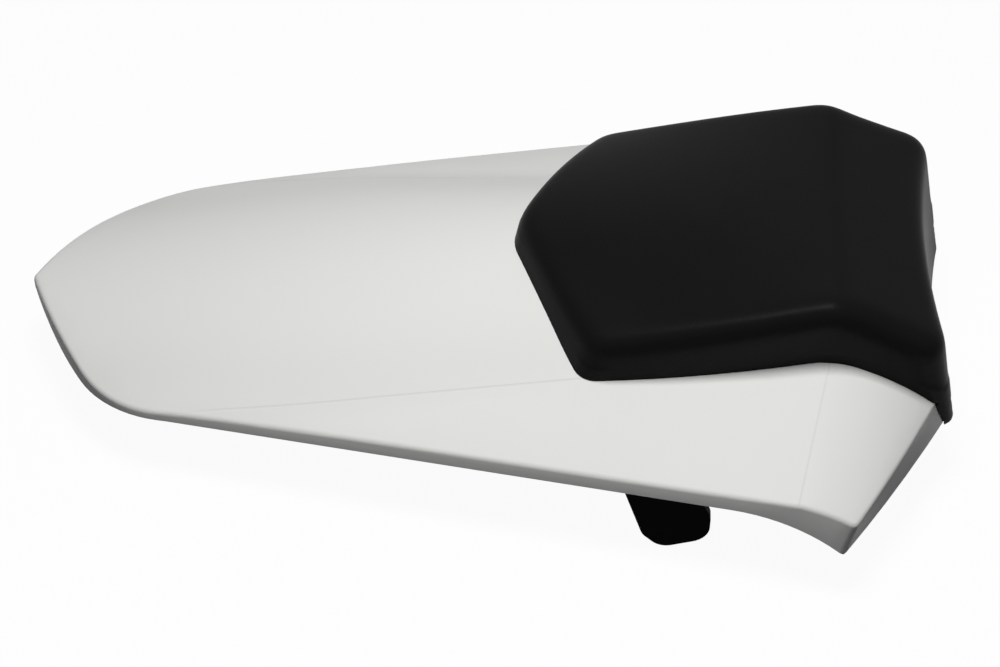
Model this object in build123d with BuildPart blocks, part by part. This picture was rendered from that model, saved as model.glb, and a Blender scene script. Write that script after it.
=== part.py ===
from build123d import *
from math import hypot, radians, sin, sqrt, tan
import os

# Seat cowl of a motorbike: a moulded shell, a pad, and the hooks and striker that hold it down.
# Millimetres. X points to the bike's front, Y to its left, Z up.
# The origin is the middle of the striker bar. Stations are measured forward from the tail tip.

# Tail tip, from the middle of the striker bar
striker_station = 150.0
striker_drop = 26.0

# Shell outline seen from above
tail_sweep = 45.3
tail_width = 138.4
tail_bow = 3.5
tail_tip_radius = 3.5
tail_corner_radius = 60.0
side_length = 311.7
front_width = 248.0
front_corner_radius = 4.0
nose_sweep = 44.2
nose_width = 114.0
nose_hollow = 8.0
nose_lean = 15.3
tip_undercut = 12.4
nose_corner_radius = 6.0

# Shell wall, its rounded outer edge and the hem that it ends in
wall = 3.0
edge_radius = 2.5
hem_tail_depth = 5.5
hem_corner_station = 24.0
hem_corner_depth = 15.8
hem_flank_station = 70.0
hem_flank_depth = 12.3
hem_side_depth = 4.6
hem_dip_start = 310.0
hem_tip_depth = 20.5
hem_nose_depth = 8.0
hem_corner_radius = 40.0

# Roof sections across the cowl: height of the crown, where the valley beside it runs, and how far
# the wings droop below their plane towards the tail
crown_rear_station = -20.0
crown_rear_rise = -3.6
crown_rear_valley = 120.0
crown_rear_droop = 12.5
crown_tail_station = 60.0
crown_tail_rise = 9.9
crown_tail_valley = 124.0
crown_tail_droop = 2.4
crown_hip_station = 128.0
crown_hip_rise = 20.9
crown_hip_valley = 145.0
crown_mid_station = 216.5
crown_mid_rise = 33.3
crown_mid_valley = 132.0
crown_fold_station = 330.0
crown_fold_rise = 43.2
crown_fold_valley = 114.0
crown_nose_station = 420.0
crown_nose_rise = 46.7
crown_nose_valley = 104.0
valley_blend = 7.0

# Wings: two planes that fall to each side and rise towards the front
wing_rise = 9.9
wing_pitch = 5.285
wing_slope = 16.7

# Apron: the shell rolls down ahead of a faint fold, on an arc that runs along the fold
fold_station = 349.5
fold_half_width = 59.1
fold_rake = 11.7
apron_lead = 2.5
apron_clear_angle = 10.0
apron_radius = 75.0
apron_sweep = 80.0

# Pad: its outline at the foot of the front lip, and how its walls lean from there up
pad_vertex_station = 203.6
pad_corner_station = 241.0
pad_corner_width = 118.8
pad_rear_bow = 2.5
pad_side_bow = 2.0
pad_waist_station = 351.0
pad_waist_width = 92.5
pad_front_station = 407.8
pad_front_width = 118.6
pad_front_hollow = 7.0
pad_lip_depth = 12.0
pad_rear_lean = 12.0
pad_front_lean = 10.8
pad_corner_flare = 11.5
pad_waist_flare = 16.5
pad_front_flare = 13.0
pad_vertex_radius = 22.0
pad_corner_radius = 12.0
pad_waist_radius = 60.0
pad_front_radius = 12.0
pad_lip_corner_radius = 6.0
pad_lip_radius = 3.0
pad_edge_radius = 7.0
pad_fold_radius = 18.0

# Pad top: crowned at the rear, level across the fold, then a dished slope down to the front
pad_rear_rise = 47.6
pad_rear_crown = 41.0
pad_top_span = 180.0
pad_fold_station = 349.0
pad_fold_rise = 65.0
pad_fold_dish = 1.2
pad_front_pitch = 24.2
pad_seat_gap = 0.2

# Hook bracket: a folded steel strap that ends in a hook on each side
strap_station = 277.0
strap_width = 30.0
strap_thickness = 4.0
strap_depth = 2.0
strap_bend_radius = 9.0
hook_span = 196.0
hook_drop = 49.0
hook_neck = 23.5
hook_heel_run = 13.0
hook_heel_lift = 8.0
hook_sole_run = 21.0
hook_reach = 41.5
hook_toe_lift = 7.0
hook_nose_lift = 21.0
hook_toe_height = 31.5
hook_toe_taper = 5.0
hook_round = 8.0
hook_toe_radius = 10.0
hook_tip_radius = 3.5
hook_throat_radius = 6.0
bracket_outer_spacing = 152.0
bracket_inner_spacing = 76.0

# Striker: a bent rod that the seat lock grips, welded into a plate
rod_diameter = 8.0
rod_clearance = 0.1
loop_width = 34.0
loop_bend_radius = 11.0
plate_length = 94.0
plate_width = 26.0
plate_thickness = 3.0
plate_depth = 2.0
plate_corner_radius = 6.0
plate_screw_spacing = 70.0

# Screws, washers and the threaded inserts in the shell's bosses
screw_diameter = 6.0
screw_head_diameter = 12.0
screw_head_height = 4.0
screw_head_round = 1.5
screw_key = 4.0
screw_key_depth = 2.5
washer_diameter = 16.0
washer_thickness = 1.2
insert_diameter = 8.6
insert_length = 9.0
boss_diameter = 15.0
boss_hole_relief = 2.0
screw_clearance = 0.6
thread_clearance = 0.2

# Pad studs: each has a wide flange moulded into the pad
stud_diameter = 5.0
stud_flange_diameter = 24.0
stud_flange_thickness = 2.0
stud_rear_station = 252.0
stud_rear_rise = 39.0
stud_front_station = 322.0
stud_front_rise = 45.0
stud_spacing = 64.0
stud_seat_rise = 22.0
stud_boss_diameter = 18.0
stud_washer_diameter = 15.0
stud_washer_thickness = 1.0
stud_nut_width = 8.0
stud_nut_height = 4.0
stud_end = 2.0

# Rubber buffers, each plugged into a moulded socket
buffer_diameter = 20.0
buffer_height = 8.0
buffer_round = 1.5
buffer_stem_diameter = 9.0
buffer_stem_length = 9.0
buffer_rear_station = 92.0
buffer_rear_inset = 21.2
buffer_rear_depth = 15.5
buffer_front_station = 326.0
buffer_front_inset = 38.0
buffer_front_depth = 9.5
socket_diameter = 16.0
socket_clearance = 0.1

# How far the blocks run past the shell, and the lean that parts walls from roofs
block_depth = 70.0
block_rise = 60.0
steep_angle = 35.0

# Places that follow from the sizes above
tip_x = -striker_station
tip_z = striker_drop
front_corner_station = tail_sweep + side_length
nose_station = front_corner_station + nose_sweep
reach = 2 * front_width
steep = sin(radians(steep_angle))
under = tip_z - block_depth
over = tip_z + block_rise
strap_top = tip_z - strap_depth
plate_top = tip_z - plate_depth
pad_height = pad_fold_rise + pad_lip_depth + 2 * pad_fold_dish


def plan_outline(inset):
    """Tail and sides of the shell seen from above, drawn in by inset and left open ahead of the nose."""
    with BuildSketch(Plane.XY.offset(under)) as outline:
        with BuildLine():
            flanks = []
            for side in (1, -1):
                tail_corner = Vector(tip_x + tail_sweep, side * tail_width / 2)
                front_corner = Vector(tip_x + front_corner_station, side * front_width / 2)
                SagittaArc((tip_x, 0), tail_corner, side * tail_bow)
                flanks.append(Line(tail_corner, 2 * front_corner - tail_corner))
            Line(flanks[0] @ 1, flanks[1] @ 1)
        make_face()
        radii = (tail_tip_radius, tail_corner_radius)
        for rank in (1, 0):
            fillet(outline.vertices().group_by(Axis.X)[rank], radii[rank])
        if inset:
            offset(amount=-inset, kind=Kind.INTERSECTION)
    return outline.sketch


def front_outline(inset, rise):
    """Front edge of the shell seen from above at a height over the tail tip, drawn in by inset."""
    corner_x = tip_x + front_corner_station + (rise + hem_tip_depth) * tan(radians(tip_undercut))
    nose_x = tip_x + nose_station - (rise + hem_nose_depth) * tan(radians(nose_lean))
    with BuildSketch(Plane.XY.offset(tip_z + rise)) as outline:
        with BuildLine():
            for side in (1, -1):
                corner = Vector(corner_x, side * front_width / 2)
                nose = Vector(nose_x, side * nose_width / 2)
                Polyline((tip_x - reach, side * reach), 2 * corner - nose, nose)
            ThreePointArc((nose_x, nose_width / 2), (nose_x - nose_hollow, 0), (nose_x, -nose_width / 2))
            Line((tip_x - reach, reach), (tip_x - reach, -reach))
        make_face()
        fillet(outline.vertices().group_by(Axis.X)[-1], nose_corner_radius)
        if inset:
            offset(amount=-inset, kind=Kind.INTERSECTION)
    return outline.sketch


def roof_section(station, crest, valley_width, droop, inset):
    """Section under the roof: a round crown that runs through a soft valley into flat wings."""
    wing_fall = tan(radians(wing_slope))
    ridge = wing_rise + station * tan(radians(wing_pitch)) - droop
    valley = valley_width / 2
    sag = crest - ridge + valley * wing_fall
    radius = (valley**2 + sag**2) / (2 * sag)
    curve = []
    for out in (0, valley / 3, 2 * valley / 3, valley - valley_blend):
        curve.append((out, tip_z + crest - radius + sqrt((radius - inset) ** 2 - out**2)))
    for out in (valley + valley_blend, valley + 2 * valley_blend, valley + 4 * valley_blend, front_width):
        curve.append((out, tip_z + ridge - out * wing_fall - inset * hypot(1, wing_fall)))
    with BuildSketch(Plane.YZ.offset(tip_x + station)) as section:
        with BuildLine():
            top = Spline(*[(-out, height) for out, height in reversed(curve[1:])], *curve)
            Polyline(top @ 1, (front_width, under - reach), (-front_width, under - reach), top @ 0)
        make_face()
    return section.sketch


def roof_block(inset):
    """All that lies under the shell's roof, drawn in by inset from the outer skin."""
    wing_run = tan(radians(wing_pitch))
    fold_run = tan(radians(fold_rake))
    fold_fall = tan(radians(wing_slope)) + wing_run * fold_run
    roll_x = tip_x + fold_station + fold_half_width * fold_run - apron_lead
    roll_z = tip_z + wing_rise + wing_run * (fold_station + fold_half_width * fold_run)
    roll_z += apron_radius - sqrt(apron_radius**2 - apron_lead**2)
    with BuildPart() as block:
        loft(
            [
                roof_section(crown_rear_station, crown_rear_rise, crown_rear_valley, crown_rear_droop, inset),
                roof_section(crown_tail_station, crown_tail_rise, crown_tail_valley, crown_tail_droop, inset),
                roof_section(crown_hip_station, crown_hip_rise, crown_hip_valley, 0, inset),
                roof_section(crown_mid_station, crown_mid_rise, crown_mid_valley, 0, inset),
                roof_section(crown_fold_station, crown_fold_rise, crown_fold_valley, 0, inset),
                roof_section(crown_nose_station, crown_nose_rise, crown_nose_valley, 0, inset),
            ]
        )
        for side in (1, -1):
            with BuildSketch(Plane.XZ):
                with BuildLine():
                    back = Line(
                        (roll_x - reach, roll_z + reach * tan(radians(apron_clear_angle))),
                        (roll_x, roll_z),
                    )
                    roll = JernArc(back @ 1, (1, 0), apron_radius, -apron_sweep)
                    Polyline(
                        roll @ 1,
                        (roll_x + apron_radius, under - reach),
                        (roll_x - reach, under - reach),
                        back @ 0,
                    )
                make_face()
                if inset:
                    offset(amount=-inset * hypot(1, fold_fall), kind=Kind.INTERSECTION)
            extrude(amount=reach, dir=(-fold_run, side, -fold_fall), both=True, mode=Mode.INTERSECT)
        loft(
            [front_outline(inset, -block_depth), front_outline(inset, block_rise)],
            ruled=True,
            mode=Mode.INTERSECT,
        )
        extrude(plan_outline(inset), amount=over - under, dir=(0, 0, 1), mode=Mode.INTERSECT)
    return block.part


def hem_cut():
    """Side view of what lies below the shell's hem."""
    with BuildSketch(Plane.XZ) as below:
        with BuildLine():
            sill = FilletPolyline(
                (tip_x - hem_corner_station, tip_z - 2 * hem_tail_depth + hem_corner_depth),
                (tip_x + hem_corner_station, tip_z - hem_corner_depth),
                (tip_x + hem_flank_station, tip_z - hem_flank_depth),
                (tip_x + hem_dip_start, tip_z - hem_side_depth),
                radius=hem_corner_radius,
            )
            dip = TangentArc(
                sill @ 1,
                (tip_x + front_corner_station, tip_z - hem_tip_depth),
                tangent=sill % 1,
            )
            Polyline(
                dip @ 1,
                (tip_x + nose_station, tip_z - hem_nose_depth),
                (tip_x + nose_station + nose_sweep, tip_z - 2 * hem_nose_depth + hem_tip_depth),
                (tip_x + nose_station + nose_sweep, under - reach),
                (tip_x - hem_corner_station, under - reach),
                sill @ 0,
            )
        make_face()
    return below.sketch


def mirrored(*points):
    """The given points and their mirror images across the middle of the cowl."""
    return [(x, side * y, z) for x, y, z in points for side in (1, -1)]


# Screw places: the face of each boss, on the bracket and on the striker plate
strap_x = tip_x + strap_station
bracket_points = mirrored(
    (strap_x, bracket_outer_spacing / 2, strap_top),
    (strap_x, bracket_inner_spacing / 2, strap_top),
)
striker_points = mirrored((0, plate_screw_spacing / 2, plate_top))
stud_seat = tip_z + stud_seat_rise
stud_points = mirrored(
    (tip_x + stud_rear_station, stud_spacing / 2, stud_seat),
    (tip_x + stud_front_station, stud_spacing / 2, stud_seat),
)
buffer_points = mirrored(
    (tip_x + buffer_rear_station, tail_width / 2 - buffer_rear_inset, tip_z - buffer_rear_depth),
    (tip_x + buffer_front_station, front_width / 2 - buffer_front_inset, tip_z - buffer_front_depth),
)
socket_points = [(x, y, z + buffer_height) for x, y, z in buffer_points]
upright = (Align.CENTER, Align.CENTER, Align.MIN)
hanging = (Align.CENTER, Align.CENTER, Align.MAX)

outer_roof = roof_block(0)
inner_roof = roof_block(wall)

# Bosses and sockets, moulded on and trimmed half way into the wall that carries them
with BuildPart() as bosses:
    for points, diameter in (
        (bracket_points + striker_points, boss_diameter),
        (stud_points, stud_boss_diameter),
        (socket_points, socket_diameter),
    ):
        with Locations(*points):
            Cylinder(diameter / 2, over - under, align=upright)
    add(roof_block(wall / 2), mode=Mode.INTERSECT)

# Cowl shell: rounded rim, hollowed to one wall, hem cut to its side view
with BuildPart() as cowl_shell:
    add(outer_roof)
    skirt = cowl_shell.faces().filter_by(lambda face: abs(face.normal_at().Z) < steep)
    flange = skirt.filter_by(lambda face: face.normal_at().X > 0)
    flanks = skirt.filter_by(lambda face: face.normal_at().X < 0)
    fillet(flange.edges() & flanks.edges(), front_corner_radius)
    roof = cowl_shell.faces().filter_by(lambda face: face.normal_at().Z > steep)
    skirt = cowl_shell.faces().filter_by(lambda face: abs(face.normal_at().Z) < steep)
    fillet(roof.edges() & skirt.edges(), edge_radius)
    extrude(hem_cut(), amount=reach, both=True, mode=Mode.SUBTRACT)
    add(inner_roof, mode=Mode.SUBTRACT)
    add(bosses.part)
    with Locations(*bracket_points, *striker_points):
        Cylinder(
            insert_diameter / 2 + socket_clearance,
            insert_length + boss_hole_relief,
            align=upright,
            mode=Mode.SUBTRACT,
        )
    with Locations(*stud_points):
        Cylinder(stud_diameter / 2 + screw_clearance, over - under, align=upright, mode=Mode.SUBTRACT)
    with Locations(*socket_points):
        Cylinder(
            buffer_stem_diameter / 2 + socket_clearance,
            buffer_stem_length + socket_clearance,
            align=upright,
            mode=Mode.SUBTRACT,
        )
cowl_shell.part.label = "cowl_shell"


def pad_outline(height):
    """Pad outline at a height above the foot of its lip, its walls leaning as they rise."""
    vertex_x = tip_x + pad_vertex_station + height * tan(radians(pad_rear_lean))
    corner_x = tip_x + pad_corner_station + height * tan(radians(pad_rear_lean))
    front_x = tip_x + pad_front_station - height * tan(radians(pad_front_lean))
    corner_y = pad_corner_width / 2 + height * tan(radians(pad_corner_flare))
    waist_y = pad_waist_width / 2 + height * tan(radians(pad_waist_flare))
    front_y = pad_front_width / 2 + height * tan(radians(pad_front_flare))
    front_radius = pad_lip_corner_radius + (pad_front_radius - pad_lip_corner_radius) * height / pad_height
    with BuildSketch(Plane.XY.offset(tip_z - pad_lip_depth + height)) as outline:
        with BuildLine():
            for side in (1, -1):
                corner = (corner_x, side * corner_y)
                SagittaArc((vertex_x, 0), corner, side * pad_rear_bow)
                flank = SagittaArc(corner, (tip_x + pad_waist_station, side * waist_y), side * pad_side_bow)
                Line(flank @ 1, (front_x, side * front_y))
            ThreePointArc((front_x, front_y), (front_x - pad_front_hollow, 0), (front_x, -front_y))
        make_face()
        corner_radii = (pad_vertex_radius, pad_corner_radius, pad_waist_radius, front_radius)
        for rank in (3, 2, 1, 0):
            fillet(outline.vertices().group_by(Axis.X)[rank], corner_radii[rank])
    return outline.sketch


def pad_top_section(station, rise, drop):
    """Section across the pad's top, an arc that drops by so much at the sides of its span."""
    half = pad_top_span / 2
    with BuildSketch(Plane.YZ.offset(tip_x + station)) as section:
        with BuildLine():
            top = ThreePointArc(
                (-half, tip_z + rise - drop),
                (0, tip_z + rise),
                (half, tip_z + rise - drop),
            )
            Polyline(top @ 1, (half, under - reach), (-half, under - reach), top @ 0)
        make_face()
    return section.sketch


# Pad studs: a flange inside the pad, a shank through the shell
stud_low = stud_seat - stud_washer_thickness - stud_nut_height - stud_end
with BuildPart() as pad_studs:
    for station, rise in ((stud_rear_station, stud_rear_rise), (stud_front_station, stud_front_rise)):
        with Locations(*mirrored((tip_x + station, stud_spacing / 2, tip_z + rise))):
            Cylinder(stud_flange_diameter / 2, stud_flange_thickness, align=upright)
            Cylinder(stud_diameter / 2, tip_z + rise - stud_low, align=hanging)
pad_studs.part.label = "pad_studs"

# Seat pad: leaning walls, crowned top and front slope, cut to the roof it sits on
pad_run = (pad_front_station - pad_fold_station) / (pad_fold_station - pad_vertex_station)
with BuildPart() as seat_pad:
    loft([pad_outline(0), pad_outline(pad_height)], ruled=True)
    loft(
        [
            pad_top_section(pad_vertex_station, pad_rear_rise, pad_rear_crown),
            pad_top_section(
                pad_front_station,
                pad_fold_rise + pad_run * (pad_fold_rise - pad_rear_rise),
                -pad_fold_dish - pad_run * (pad_fold_dish + pad_rear_crown),
            ),
        ],
        ruled=True,
        mode=Mode.INTERSECT,
    )
    extrude(
        pad_top_section(pad_fold_station, pad_fold_rise, -pad_fold_dish),
        amount=reach,
        dir=(1, 0, -tan(radians(pad_front_pitch))),
        both=True,
        mode=Mode.INTERSECT,
    )
    top = seat_pad.faces().filter_by(lambda face: face.normal_at().Z > steep)
    fillet(top[0].edges() & top[1].edges(), pad_fold_radius)
    walls = seat_pad.faces().filter_by(lambda face: abs(face.normal_at().Z) < steep)
    top = seat_pad.faces().filter_by(lambda face: face.normal_at().Z > steep)
    fillet(top.edges() & walls.edges(), pad_edge_radius)
    fillet(seat_pad.faces().sort_by(Axis.Z)[0].edges(), pad_lip_radius)
    add(roof_block(-pad_seat_gap), mode=Mode.SUBTRACT)
    add(pad_studs.part, mode=Mode.SUBTRACT)
seat_pad.part.label = "seat_pad"

# Washer and nut that draw each stud down against its boss
with BuildPart() as pad_washers:
    with Locations(*stud_points):
        Cylinder(stud_washer_diameter / 2, stud_washer_thickness, align=hanging)
        Cylinder(
            (stud_diameter + thread_clearance) / 2,
            stud_washer_thickness,
            align=hanging,
            mode=Mode.SUBTRACT,
        )
pad_washers.part.label = "pad_washers"

with BuildPart() as stud_nut:
    with BuildSketch():
        RegularPolygon(stud_nut_width / 2, 6, major_radius=False)
        Circle((stud_diameter + thread_clearance) / 2, mode=Mode.SUBTRACT)
    extrude(amount=-stud_nut_height)
with BuildPart() as pad_nuts:
    with Locations(*[(x, y, z - stud_washer_thickness) for x, y, z in stud_points]):
        add(stud_nut.part)
pad_nuts.part.label = "pad_nuts"

# Hook bracket: one strap folded down at both ends, cut to the side view of strap and hook
strap_rear = strap_x - strap_width / 2
strap_front = strap_x + strap_width / 2
strap_under = strap_top - strap_thickness
hook_low = strap_top - hook_drop
throat_x = strap_rear + hook_neck
toe_x = strap_rear + hook_reach
with BuildPart() as hook_bracket:
    with BuildSketch(Plane.YZ.offset(strap_rear)):
        with BuildLine():
            for inset in (0, strap_thickness):
                half = hook_span / 2 - inset
                FilletPolyline(
                    (-half, hook_low),
                    (-half, strap_top - inset),
                    (half, strap_top - inset),
                    (half, hook_low),
                    radius=strap_bend_radius - inset,
                )
            for side in (1, -1):
                Line((side * hook_span / 2, hook_low), (side * (hook_span / 2 - strap_thickness), hook_low))
        make_face()
    extrude(amount=hook_reach)
    with BuildSketch(Plane.XZ):
        with BuildLine():
            FilletPolyline(
                (strap_rear, strap_top),
                (strap_rear + hook_heel_run, hook_low + hook_heel_lift),
                (strap_rear + hook_sole_run, hook_low),
                (toe_x, hook_low + hook_toe_lift),
                (toe_x, hook_low + hook_nose_lift),
                (toe_x - hook_toe_taper, hook_low + hook_toe_height),
                (throat_x, hook_low + hook_toe_height),
                (throat_x, strap_under),
                (strap_front, strap_under),
                (strap_front, strap_top),
                radius=(
                    hook_round,
                    hook_round,
                    hook_toe_radius,
                    hook_round,
                    hook_tip_radius,
                    hook_throat_radius,
                    0,
                    0,
                ),
            )
            Line((strap_front, strap_top), (strap_rear, strap_top))
        make_face()
    extrude(amount=hook_span, both=True, mode=Mode.INTERSECT)
    with Locations(*bracket_points):
        Cylinder((screw_diameter + screw_clearance) / 2, strap_thickness, align=hanging, mode=Mode.SUBTRACT)
hook_bracket.part.label = "hook_bracket"

# Striker plate, and the rod loop welded into it with its bar on the origin
with BuildPart() as striker_plate:
    with BuildSketch(Plane.XY.offset(plate_top)):
        RectangleRounded(plate_width, plate_length, plate_corner_radius)
        with GridLocations(0, plate_screw_spacing, 1, 2):
            Circle((screw_diameter + screw_clearance) / 2, mode=Mode.SUBTRACT)
        with GridLocations(0, loop_width, 1, 2):
            Circle(rod_diameter / 2 + rod_clearance, mode=Mode.SUBTRACT)
    extrude(amount=-plate_thickness)
striker_plate.part.label = "striker_plate"

with BuildPart() as striker_loop:
    with BuildLine(Plane.YZ) as bend:
        FilletPolyline(
            (-loop_width / 2, plate_top),
            (-loop_width / 2, 0),
            (loop_width / 2, 0),
            (loop_width / 2, plate_top),
            radius=loop_bend_radius,
        )
    with BuildSketch(Plane((0, -loop_width / 2, plate_top))):
        Circle(rod_diameter / 2)
    sweep(path=bend.wires()[0])
striker_loop.part.label = "striker_loop"

# Screw, washer and insert at every boss of the bracket and the striker
screw_seats = [(x, y, z - strap_thickness) for x, y, z in bracket_points]
screw_seats += [(x, y, z - plate_thickness) for x, y, z in striker_points]
with BuildPart() as fixing_washers:
    with Locations(*screw_seats):
        Cylinder(washer_diameter / 2, washer_thickness, align=hanging)
        Cylinder(
            (screw_diameter + screw_clearance) / 2,
            washer_thickness,
            align=hanging,
            mode=Mode.SUBTRACT,
        )
fixing_washers.part.label = "fixing_washers"

with BuildPart() as screw:
    Cylinder(screw_head_diameter / 2, screw_head_height, align=hanging)
    fillet(screw.edges().sort_by(Axis.Z)[0], screw_head_round)
    Cylinder(
        (screw_diameter - thread_clearance) / 2,
        washer_thickness + strap_thickness + insert_length,
        align=upright,
    )
    with BuildSketch(Plane.XY.offset(-screw_head_height)):
        RegularPolygon(screw_key / 2, 6, major_radius=False)
    extrude(amount=screw_key_depth, mode=Mode.SUBTRACT)
with BuildPart() as fixing_screws:
    with Locations(*[(x, y, z - washer_thickness) for x, y, z in screw_seats]):
        add(screw.part)
fixing_screws.part.label = "fixing_screws"

with BuildPart() as thread_inserts:
    with Locations(*bracket_points, *striker_points):
        Cylinder(insert_diameter / 2, insert_length, align=upright)
        Cylinder(screw_diameter / 2, insert_length, align=upright, mode=Mode.SUBTRACT)
thread_inserts.part.label = "thread_inserts"

os.makedirs("parts", exist_ok=True)
export_step(cowl_shell.part, "parts/cowl_shell.step")
export_step(seat_pad.part, "parts/seat_pad.step")
export_step(pad_studs.part, "parts/pad_studs.step")
export_step(pad_washers.part, "parts/pad_washers.step")
export_step(pad_nuts.part, "parts/pad_nuts.step")
export_step(hook_bracket.part, "parts/hook_bracket.step")
export_step(striker_plate.part, "parts/striker_plate.step")
export_step(striker_loop.part, "parts/striker_loop.step")
export_step(fixing_washers.part, "parts/fixing_washers.step")
export_step(fixing_screws.part, "parts/fixing_screws.step")
export_step(thread_inserts.part, "parts/thread_inserts.step")

# Rubber buffers: a round foot on a stem, one in each socket
with BuildPart() as rubber:
    Cylinder(buffer_diameter / 2, buffer_height, align=upright)
    fillet(rubber.edges().sort_by(Axis.Z)[0], buffer_round)
    with Locations((0, 0, buffer_height)):
        Cylinder(buffer_stem_diameter / 2, buffer_stem_length, align=upright)
places = ("rear_left", "rear_right", "front_left", "front_right")
for place, point in zip(places, buffer_points):
    with BuildPart() as buffer:
        with Locations(point):
            add(rubber.part)
    buffer.part.label = f"{place}_buffer"
    export_step(buffer.part, f"parts/{place}_buffer.step")
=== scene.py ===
import math

import bmesh
import bpy
from mathutils import Matrix, Vector
from mathutils.kdtree import KDTree


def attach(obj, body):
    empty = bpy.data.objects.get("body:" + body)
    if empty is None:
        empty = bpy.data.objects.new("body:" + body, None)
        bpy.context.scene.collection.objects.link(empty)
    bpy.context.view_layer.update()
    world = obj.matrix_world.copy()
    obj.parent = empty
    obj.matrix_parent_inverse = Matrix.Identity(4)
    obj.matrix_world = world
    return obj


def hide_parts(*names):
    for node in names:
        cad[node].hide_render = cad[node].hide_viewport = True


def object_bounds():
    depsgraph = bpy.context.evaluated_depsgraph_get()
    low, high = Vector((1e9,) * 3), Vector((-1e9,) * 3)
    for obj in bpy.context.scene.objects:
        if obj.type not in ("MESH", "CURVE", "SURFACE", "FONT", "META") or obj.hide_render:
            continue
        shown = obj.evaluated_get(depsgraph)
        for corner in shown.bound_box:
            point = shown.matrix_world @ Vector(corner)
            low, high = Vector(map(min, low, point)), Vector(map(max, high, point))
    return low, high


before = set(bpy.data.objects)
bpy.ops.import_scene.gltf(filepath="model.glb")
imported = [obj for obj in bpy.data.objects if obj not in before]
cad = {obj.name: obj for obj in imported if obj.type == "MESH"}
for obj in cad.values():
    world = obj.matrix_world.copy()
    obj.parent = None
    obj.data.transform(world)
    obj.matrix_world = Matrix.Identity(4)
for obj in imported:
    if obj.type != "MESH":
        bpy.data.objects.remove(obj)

cad_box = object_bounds()

# Cowl shell: one skin of moulded plastic, sprayed gloss white outside and left bare inside.
# The hem is trimmed to its wavy line, and the bosses inside were moulded on with the wall.
SEAM_GAP = 0.000002
SHARP_EDGE = math.radians(32)
CLOUD_DETAIL = 3
GRAIN_DETAIL = 2


def shade_smooth(skin):
    """Smooth shading that breaks only at the skin's sharp edges."""
    for edge in skin.edges:
        edge.smooth = len(edge.link_faces) == 2 and edge.calc_face_angle() < SHARP_EDGE
    for face in skin.faces:
        face.smooth = True


def merged_copy(node):
    """A CAD node's loose triangles joined into one skin, ready to be shaped or painted."""
    skin = bmesh.new()
    skin.from_mesh(cad[node].data)
    bmesh.ops.remove_doubles(skin, verts=skin.verts, dist=SEAM_GAP)
    shade_smooth(skin)
    return skin


def settle(name, skin, body, slot, *materials):
    """Makes the finished skin an object at the origin that rides on its body."""
    mesh = bpy.data.meshes.new(name)
    skin.to_mesh(mesh)
    skin.free()
    for material in materials:
        mesh.materials.append(material)
    piece = bpy.data.objects.new(name, mesh)
    bpy.context.scene.collection.objects.link(piece)
    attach(piece, body)
    return piece


def surface(
    name,
    pale,
    deep,
    smooth,
    rough,
    cloud_size,
    grain_size,
    grain_depth,
    shine=0.5,
    metal=0.0,
):
    """A finish whose colour and roughness wander over the piece, with a fine relief of its own."""
    finish = bpy.data.materials.new(name)
    finish.use_nodes = True
    nodes = finish.node_tree.nodes
    link = finish.node_tree.links.new
    shader = nodes["Principled BSDF"]
    shader.inputs["Specular IOR Level"].default_value = shine
    shader.inputs["Metallic"].default_value = metal
    place = nodes.new("ShaderNodeTexCoord")
    cloud = nodes.new("ShaderNodeTexNoise")
    cloud.inputs["Scale"].default_value = 1 / cloud_size
    cloud.inputs["Detail"].default_value = CLOUD_DETAIL
    grain = nodes.new("ShaderNodeTexNoise")
    grain.inputs["Scale"].default_value = 1 / grain_size
    grain.inputs["Detail"].default_value = GRAIN_DETAIL
    for noise in (cloud, grain):
        link(place.outputs["Object"], noise.inputs["Vector"])
    tint = nodes.new("ShaderNodeMix")
    tint.data_type = "RGBA"
    tint.inputs["A"].default_value = (*deep, 1)
    tint.inputs["B"].default_value = (*pale, 1)
    link(cloud.outputs["Fac"], tint.inputs["Factor"])
    link(tint.outputs["Result"], shader.inputs["Base Color"])
    sheen = nodes.new("ShaderNodeMapRange")
    sheen.clamp = False
    sheen.inputs["To Min"].default_value = smooth
    sheen.inputs["To Max"].default_value = rough
    link(cloud.outputs["Fac"], sheen.inputs["Value"])
    link(sheen.outputs["Result"], shader.inputs["Roughness"])
    relief = nodes.new("ShaderNodeBump")
    relief.inputs["Distance"].default_value = grain_depth
    link(grain.outputs["Fac"], relief.inputs["Height"])
    link(relief.outputs["Normal"], shader.inputs["Normal"])
    return finish


shell_paint = surface(
    "shell_paint",
    pale=(0.80, 0.80, 0.79),
    deep=(0.77, 0.77, 0.765),
    smooth=0.36,
    rough=0.46,
    cloud_size=0.11,
    grain_size=0.0035,
    grain_depth=0.00001,
    shine=0.04,
)

# Two fine lines that the mould leaves in the skin, shallow grooves with painted shade darkening
# the paint along them:
# a faint crease across each wing, and the valley where the wing meets the crown.
LINE_HALF_WIDTH = 0.0007
LINE_DEPTH = 0.00012
# How much black is mixed into the paint along the lines, as painted shade.
LINE_PAINTED_SHADE = 0.05

nodes = shell_paint.node_tree.nodes
link = shell_paint.node_tree.links.new
shader = nodes["Principled BSDF"]


def paint_math(operation, first, second=0.0):
    """A math node in the paint, on a socket and a number or a second socket."""
    node = nodes.new("ShaderNodeMath")
    node.operation = operation
    for place, value in enumerate((first, second)):
        if isinstance(value, float):
            node.inputs[place].default_value = value
        else:
            link(value, node.inputs[place])
    return node.outputs[0]


def paint_step(value, start, end, before=0.0, after=1.0):
    """A soft step in the paint, from one number before start to another after end."""
    node = nodes.new("ShaderNodeMapRange")
    node.interpolation_type = "SMOOTHSTEP"
    node.inputs["From Min"].default_value = start
    node.inputs["From Max"].default_value = end
    node.inputs["To Min"].default_value = before
    node.inputs["To Max"].default_value = after
    link(value, node.inputs["Value"])
    return node.outputs[0]


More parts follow.
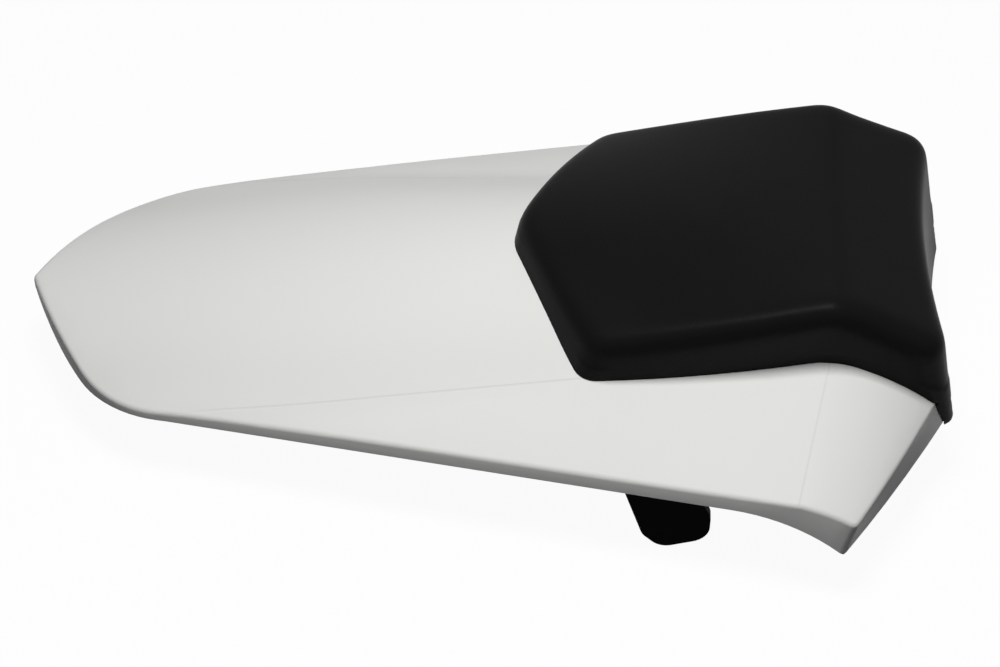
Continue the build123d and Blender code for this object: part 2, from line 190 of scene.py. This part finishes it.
def fine_line(distance):
    """One in the middle of a line, falling to zero at its two sides."""
    return paint_step(paint_math("ABSOLUTE", distance), 0.0, LINE_HALF_WIDTH, 1.0, 0.0)


place = nodes.new("ShaderNodeTexCoord")
parted = nodes.new("ShaderNodeSeparateXYZ")
link(place.outputs["Object"], parted.inputs[0])
along, across, rise = parted.outputs
off_centre = paint_math("ABSOLUTE", across)

# The crease, where the front roll begins. It stays on the wing and off the skirt below it.
CREASE_RAKE = math.radians(11.7)
CREASE_REACH = 0.21174
CREASE_FLOOR = 0.0305

raked = paint_math("MULTIPLY", off_centre, math.tan(CREASE_RAKE))
ahead = paint_math("SUBTRACT", paint_math("ADD", along, raked), CREASE_REACH)
on_wing = paint_math("GREATER_THAN", rise, CREASE_FLOOR)
crease = paint_math("MULTIPLY", fine_line(ahead), on_wing)

# The valley, as points along the cowl with its distance from the middle there.
# It fades out before the tail's rim.
VALLEY_LINE = (
    (-0.170, 0.0745),
    (-0.060, 0.0735),
    (-0.022, 0.0725),
    (0.0125, 0.0702),
    (0.0665, 0.0660),
    (0.180, 0.0570),
    (0.270, 0.0520),
)
VALLEY_FADE = (-0.085, -0.04)
CURVE_SCALE = 10.0

tail_end, front_end = VALLEY_LINE[0][0], VALLEY_LINE[-1][0]
run = nodes.new("ShaderNodeMapRange")
run.inputs["From Min"].default_value = tail_end
run.inputs["From Max"].default_value = front_end
link(along, run.inputs["Value"])
spots = [
    ((reach - tail_end) / (front_end - tail_end), half_width * CURVE_SCALE)
    for reach, half_width in VALLEY_LINE
]
bend = nodes.new("ShaderNodeFloatCurve")
points = bend.mapping.curves[0].points
points[0].location = spots[0]
points[-1].location = spots[-1]
for spot in spots[1:-1]:
    points.new(*spot)
bend.mapping.update()
link(run.outputs[0], bend.inputs["Value"])
valley_centre = paint_math("DIVIDE", bend.outputs[0], CURVE_SCALE)
beside = paint_math("SUBTRACT", off_centre, valley_centre)
valley = paint_math("MULTIPLY", fine_line(beside), paint_step(along, *VALLEY_FADE))

lines = paint_math("MAXIMUM", crease, valley)
press = nodes.new("ShaderNodeBump")
press.invert = True
press.inputs["Distance"].default_value = LINE_DEPTH
link(lines, press.inputs["Height"])
link(shader.inputs["Normal"].links[0].from_socket, press.inputs["Normal"])
link(press.outputs[0], shader.inputs["Normal"])
# Painted shade: the paint's colour is darkened along the crease and the valley.
painted_line_shade = nodes.new("ShaderNodeMix")
painted_line_shade.data_type = "RGBA"
painted_line_shade.blend_type = "MULTIPLY"
painted_line_shade.inputs["B"].default_value = (0, 0, 0, 1)
link(paint_math("MULTIPLY", lines, LINE_PAINTED_SHADE), painted_line_shade.inputs["Factor"])
link(shader.inputs["Base Color"].links[0].from_socket, painted_line_shade.inputs["A"])
link(painted_line_shade.outputs["Result"], shader.inputs["Base Color"])

bare_plastic = surface(
    "bare_plastic",
    pale=(0.62, 0.62, 0.60),
    deep=(0.55, 0.55, 0.53),
    smooth=0.5,
    rough=0.62,
    cloud_size=0.06,
    grain_size=0.0009,
    grain_depth=0.00003,
)

# The paint spreads from the crest to every face that no sharp edge parts from it.
skin = merged_copy("cowl_shell")
crest = max(skin.faces, key=lambda face: face.calc_center_median().z)
painted = {crest}
fresh = [crest]
while fresh:
    face = fresh.pop()
    for edge in face.edges:
        if edge.smooth:
            for other in edge.link_faces:
                if other not in painted:
                    painted.add(other)
                    fresh.append(other)
for face in skin.faces:
    face.material_index = 0 if face in painted else 1
cowl = settle("painted_cowl", skin, "root", "shell_paint", shell_paint, bare_plastic)
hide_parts("cowl_shell")

# Seat pad: a block of moulded polyurethane foam with its own tough black skin, no cover, no seam.
# Its edges are soft and full, and its foot lies close on the shell and laps over the front flange.
PAD_VOXEL = 0.0012
RIM_SNAP = 0.0012
RIM_STEP = 0.0003
RIM_MERGE = 0.00025
SLIVER = 0.00002
FOOT_FACING = -0.6
FOOT_CLEAR = 0.008
EASE_ROUNDS = 36
EASE_SHARE = 0.5


def nearest_of(places):
    """A search tree that finds the nearest of some places on the pad."""
    tree = KDTree(len(places))
    for index, place in enumerate(places):
        tree.insert(place, index)
    tree.balance()
    return tree


skin = merged_copy("seat_pad")
rim = []
for edge in skin.edges:
    if not edge.smooth:
        start, end = (vert.co for vert in edge.verts)
        count = max(1, round(edge.calc_length() / RIM_STEP))
        rim += [start.lerp(end, step / count) for step in range(count + 1)]
rim_tree = nearest_of(rim)
pad_mesh = bpy.data.meshes.new("seat_back_pad")
skin.to_mesh(pad_mesh)
skin.free()
pad = bpy.data.objects.new("seat_back_pad", pad_mesh)
bpy.context.scene.collection.objects.link(pad)

# An even skin over the solid, drawn back to its rim lines where the remesh rounded them off.
even = pad.modifiers.new("even_skin", "REMESH")
even.mode = "VOXEL"
even.voxel_size = PAD_VOXEL
close = pad.modifiers.new("close_to_solid", "SHRINKWRAP")
close.target = cad["seat_pad"]
close.wrap_method = "NEAREST_SURFACEPOINT"
bpy.context.view_layer.update()
depsgraph = bpy.context.evaluated_depsgraph_get()
shaped = bpy.data.meshes.new_from_object(pad.evaluated_get(depsgraph))
pad.modifiers.clear()
skin = bmesh.new()
skin.from_mesh(shaped)
for vert in skin.verts:
    place, index, gap = rim_tree.find(vert.co)
    if gap < RIM_SNAP:
        vert.co = place
bmesh.ops.remove_doubles(skin, verts=skin.verts, dist=RIM_MERGE)
bmesh.ops.dissolve_degenerate(skin, edges=skin.edges, dist=SLIVER)
skin.normal_update()

# The foam's own softness: all but the foot and what is close to it is eased.
foot = [vert.co.copy() for vert in skin.verts if vert.normal.z < FOOT_FACING]
foot_tree = nearest_of(foot)
soft = [vert for vert in skin.verts if foot_tree.find(vert.co)[2] > FOOT_CLEAR]
for ease in range(EASE_ROUNDS):
    bmesh.ops.smooth_vert(
        skin,
        verts=soft,
        factor=EASE_SHARE,
        use_axis_x=True,
        use_axis_y=True,
        use_axis_z=True,
    )
shade_smooth(skin)
skin.to_mesh(shaped)
skin.free()
pad.data = shaped

pad_skin = surface(
    "pad_skin",
    pale=(0.0078, 0.0078, 0.008),
    deep=(0.006, 0.006, 0.0062),
    smooth=0.32,
    rough=0.42,
    cloud_size=0.03,
    grain_size=0.0007,
    grain_depth=0.00006,
    shine=0.02,
)
pad.data.materials.clear()
pad.data.materials.append(pad_skin)
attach(pad, "root")
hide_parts("seat_pad")

# Hook bracket: a strip of 4 mm steel, folded down at both ends into hooks and powder coated black.
# Screws hold it under the shell's bosses, and one hook shows below the near edge.
bracket_coat = surface(
    "bracket_coat",
    pale=(0.004, 0.004, 0.004),
    deep=(0.0025, 0.0025, 0.0025),
    smooth=0.42,
    rough=0.55,
    cloud_size=0.02,
    grain_size=0.0011,
    grain_depth=0.00008,
    shine=0.008,
)
skin = merged_copy("hook_bracket")
bracket = settle("coated_bracket", skin, "root", "bracket_coat", bracket_coat)
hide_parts("hook_bracket")

# Striker, screws, washers and nuts: plain steel, zinc plated in a barrel to a cloudy silver.
# The striker is a bent rod on its plate, and screws hold the plate under the shell's bosses.
zinc_steel = surface(
    "zinc_steel",
    pale=(0.66, 0.66, 0.63),
    deep=(0.55, 0.55, 0.54),
    smooth=0.28,
    rough=0.45,
    cloud_size=0.008,
    grain_size=0.0006,
    grain_depth=0.00002,
    metal=1.0,
)


def coat(node, finish):
    """Gives a CAD node's object its finish."""
    cad[node].data.materials.clear()
    cad[node].data.materials.append(finish)


for node in (
    "striker_plate",
    "striker_loop",
    "fixing_screws",
    "fixing_washers",
    "pad_washers",
    "pad_nuts",
):
    coat(node, zinc_steel)

# Pad studs: zinc plated steel, each with a wide flange moulded into the pad's foam
# and a shank through the shell. The thread is rolled on, so it shows as fine rings under each nut.
THREAD_PITCH = 0.0008
THREAD_DEPTH = 0.0004
WAVE_RATE = 20  # how far the wave texture turns along one unit at a scale of one

thread_steel = zinc_steel.copy()
thread_steel.name = "thread_steel"
nodes = thread_steel.node_tree.nodes
link = thread_steel.node_tree.links.new
place = nodes.new("ShaderNodeTexCoord")
rings = nodes.new("ShaderNodeTexWave")
rings.bands_direction = "Z"
rings.inputs["Scale"].default_value = math.tau / (WAVE_RATE * THREAD_PITCH)
link(place.outputs["Object"], rings.inputs["Vector"])
cut = nodes.new("ShaderNodeBump")
cut.inputs["Distance"].default_value = THREAD_DEPTH
link(rings.outputs["Fac"], cut.inputs["Height"])
link(cut.outputs[0], nodes["Principled BSDF"].inputs["Normal"])
coat("pad_studs", thread_steel)

# Weld beads: a run of filler steel around each leg of the striker loop, where it enters the plate.
# Each is laid in short steps, so it swells and narrows as it goes round.
BEAD_SPOTS = (-0.017, 0.017)
BEAD_LEVEL = 0.021
BEAD_RADIUS = 0.0047
BEAD_SIZE = 0.0014
BEAD_SIDES = 12
BEAD_STEPS = 88
BEAD_MERGE = 0.000001
BEAD_RIPPLES = 11
BEAD_RIPPLE = 0.16

skin = bmesh.new()
upright = Matrix.Rotation(math.pi / 2, 3, "X")
for spot in BEAD_SPOTS:
    hoop = bmesh.ops.create_circle(skin, segments=BEAD_SIDES, radius=BEAD_SIZE)["verts"]
    bmesh.ops.rotate(skin, verts=hoop, cent=(0, 0, 0), matrix=upright)
    bmesh.ops.translate(skin, verts=hoop, vec=(BEAD_RADIUS, spot, BEAD_LEVEL))
    bmesh.ops.spin(
        skin,
        geom=hoop + list({edge for vert in hoop for edge in vert.link_edges}),
        cent=(0, spot, 0),
        axis=(0, 0, 1),
        angle=math.tau,
        steps=BEAD_STEPS,
        use_merge=True,
    )
bmesh.ops.remove_doubles(skin, verts=skin.verts, dist=BEAD_MERGE)
for vert in skin.verts:
    middle = Vector((0, math.copysign(BEAD_SPOTS[1], vert.co.y), BEAD_LEVEL))
    arm = vert.co - middle
    turn = math.atan2(arm.y, arm.x)
    core = middle + Vector((math.cos(turn), math.sin(turn), 0)) * BEAD_RADIUS
    vert.co = core + (vert.co - core) * (1 + BEAD_RIPPLE * math.sin(BEAD_RIPPLES * turn))
bmesh.ops.recalc_face_normals(skin, faces=skin.faces)
for face in skin.faces:
    face.smooth = True
settle("weld_beads", skin, "root", "zinc_steel", zinc_steel)

# Threaded inserts: short brass sleeves, one for each screw of the bracket and the striker.
# They are pressed hot into the shell's bosses, whose plastic sets around them.
insert_brass = surface(
    "insert_brass",
    pale=(0.72, 0.55, 0.27),
    deep=(0.60, 0.44, 0.2),
    smooth=0.3,
    rough=0.45,
    cloud_size=0.006,
    grain_size=0.0006,
    grain_depth=0.00002,
    metal=1.0,
)
coat("thread_inserts", insert_brass)

# Rubber buffers: four moulded feet of matt black rubber, on which the cowl rests on the bike.
# Each is pushed by its stem into a socket of the shell.
buffer_rubber = surface(
    "buffer_rubber",
    pale=(0.026, 0.026, 0.026),
    deep=(0.018, 0.018, 0.018),
    smooth=0.62,
    rough=0.75,
    cloud_size=0.007,
    grain_size=0.0006,
    grain_depth=0.00005,
)
for corner in ("rear_left", "rear_right", "front_left", "front_right"):
    coat(corner + "_buffer", buffer_rubber)

# Floor: a plain sheet of white paper, just under the lowest point of the cowl.
# It looks nearly white, throws little light back up and keeps the cowl's soft shadow.
FLOOR_SIZE = 6.0
FLOOR_DROP = 0.0005
FLOOR_GLOW = 0.95
FLOOR_SEEN = (0.9, 0.9, 0.9)
FLOOR_BOUNCE = (0.10, 0.10, 0.105)

lowest = cad_box[0][2]
sheet = bmesh.new()
bmesh.ops.create_grid(sheet, x_segments=1, y_segments=1, size=FLOOR_SIZE)
bmesh.ops.translate(sheet, verts=sheet.verts, vec=(0, 0, lowest - FLOOR_DROP))
floor_mesh = bpy.data.meshes.new("floor")
sheet.to_mesh(floor_mesh)
sheet.free()
floor = bpy.data.objects.new("floor", floor_mesh)
bpy.context.scene.collection.objects.link(floor)


def seen_directly(tree):
    """One for rays from the camera, from gloss or through glass, and zero for all others."""
    path = tree.nodes.new("ShaderNodeLightPath")
    total = path.outputs["Is Camera Ray"]
    for ray in ("Is Glossy Ray", "Is Transmission Ray"):
        both = tree.nodes.new("ShaderNodeMath")
        both.operation = "MAXIMUM"
        tree.links.new(total, both.inputs[0])
        tree.links.new(path.outputs[ray], both.inputs[1])
        total = both.outputs[0]
    return total


paper = bpy.data.materials.new("floor_paper")
paper.use_nodes = True
tree = paper.node_tree
tree.nodes.clear()
bounce = tree.nodes.new("ShaderNodeBsdfDiffuse")
bounce.inputs["Color"].default_value = (*FLOOR_BOUNCE, 1)
seen = tree.nodes.new("ShaderNodeBsdfDiffuse")
seen.inputs["Color"].default_value = (*FLOOR_SEEN, 1)
glow = tree.nodes.new("ShaderNodeEmission")
lit = tree.nodes.new("ShaderNodeMixShader")
lit.inputs["Fac"].default_value = FLOOR_GLOW
tree.links.new(seen.outputs[0], lit.inputs[1])
tree.links.new(glow.outputs[0], lit.inputs[2])
mixed = tree.nodes.new("ShaderNodeMixShader")
tree.links.new(seen_directly(tree), mixed.inputs["Fac"])
tree.links.new(bounce.outputs[0], mixed.inputs[1])
tree.links.new(lit.outputs[0], mixed.inputs[2])
out = tree.nodes.new("ShaderNodeOutputMaterial")
tree.links.new(mixed.outputs[0], out.inputs["Surface"])
floor_mesh.materials.append(paper)

# Studio: a room that is dim away from the lamps, with a soft box high above the near side
# and a weak one behind, so that the far wing isn't lost.
AMBIENT = 0.03
AMBIENT_COLOUR = (0.96, 0.96, 1.0)
BACKDROP_COLOUR = (1.0, 1.0, 1.0)
LAMP_AIM = Vector((0.10, 0.0, 0.04))
LAMPS = (
    ("key_box", Vector((0.08, -0.26, 0.95)), (0.26, 0.22), 8.1),
    ("far_box", Vector((0.10, 0.90, 0.60)), (0.60, 0.50), 0.8),
)
LAMP_COLOUR = (1.0, 1.0, 0.985)

world = bpy.data.worlds.new("studio")
bpy.context.scene.world = world
world.use_nodes = True
tree = world.node_tree
tree.nodes.clear()
shade = tree.nodes.new("ShaderNodeBackground")
shade.inputs["Color"].default_value = (*AMBIENT_COLOUR, 1)
shade.inputs["Strength"].default_value = AMBIENT
backdrop = tree.nodes.new("ShaderNodeBackground")
backdrop.inputs["Color"].default_value = (*BACKDROP_COLOUR, 1)
mixed = tree.nodes.new("ShaderNodeMixShader")
tree.links.new(seen_directly(tree), mixed.inputs["Fac"])
tree.links.new(shade.outputs[0], mixed.inputs[1])
tree.links.new(backdrop.outputs[0], mixed.inputs[2])
out = tree.nodes.new("ShaderNodeOutputWorld")
tree.links.new(mixed.outputs[0], out.inputs["Surface"])

for name, place, size, watts in LAMPS:
    lamp = bpy.data.lights.new(name, "AREA")
    lamp.shape = "RECTANGLE"
    lamp.size, lamp.size_y = size
    lamp.energy = watts
    lamp.color = LAMP_COLOUR
    soft_box = bpy.data.objects.new(name, lamp)
    soft_box.location = place
    soft_box.rotation_euler = (LAMP_AIM - place).to_track_quat("-Z", "Y").to_euler()
    bpy.context.scene.collection.objects.link(soft_box)

# Camera: high above the bike's right side, about a metre from the cowl.
# Place, turn and lens were fitted to the cowl's outline in the photograph.
CAMERA_PLACE = (0.1048, -0.7624, 0.7635)
CAMERA_TILT = math.radians(45.078)
CAMERA_TURN = math.radians(3.461)
CAMERA_LENS = 86.4

view = bpy.data.cameras.new("camera")
view.lens = CAMERA_LENS
camera = bpy.data.objects.new("camera", view)
camera.location = CAMERA_PLACE
camera.rotation_euler = (CAMERA_TILT, 0, CAMERA_TURN)
bpy.context.scene.collection.objects.link(camera)
bpy.context.scene.camera = camera
bpy.context.scene.view_settings.view_transform = "Standard"
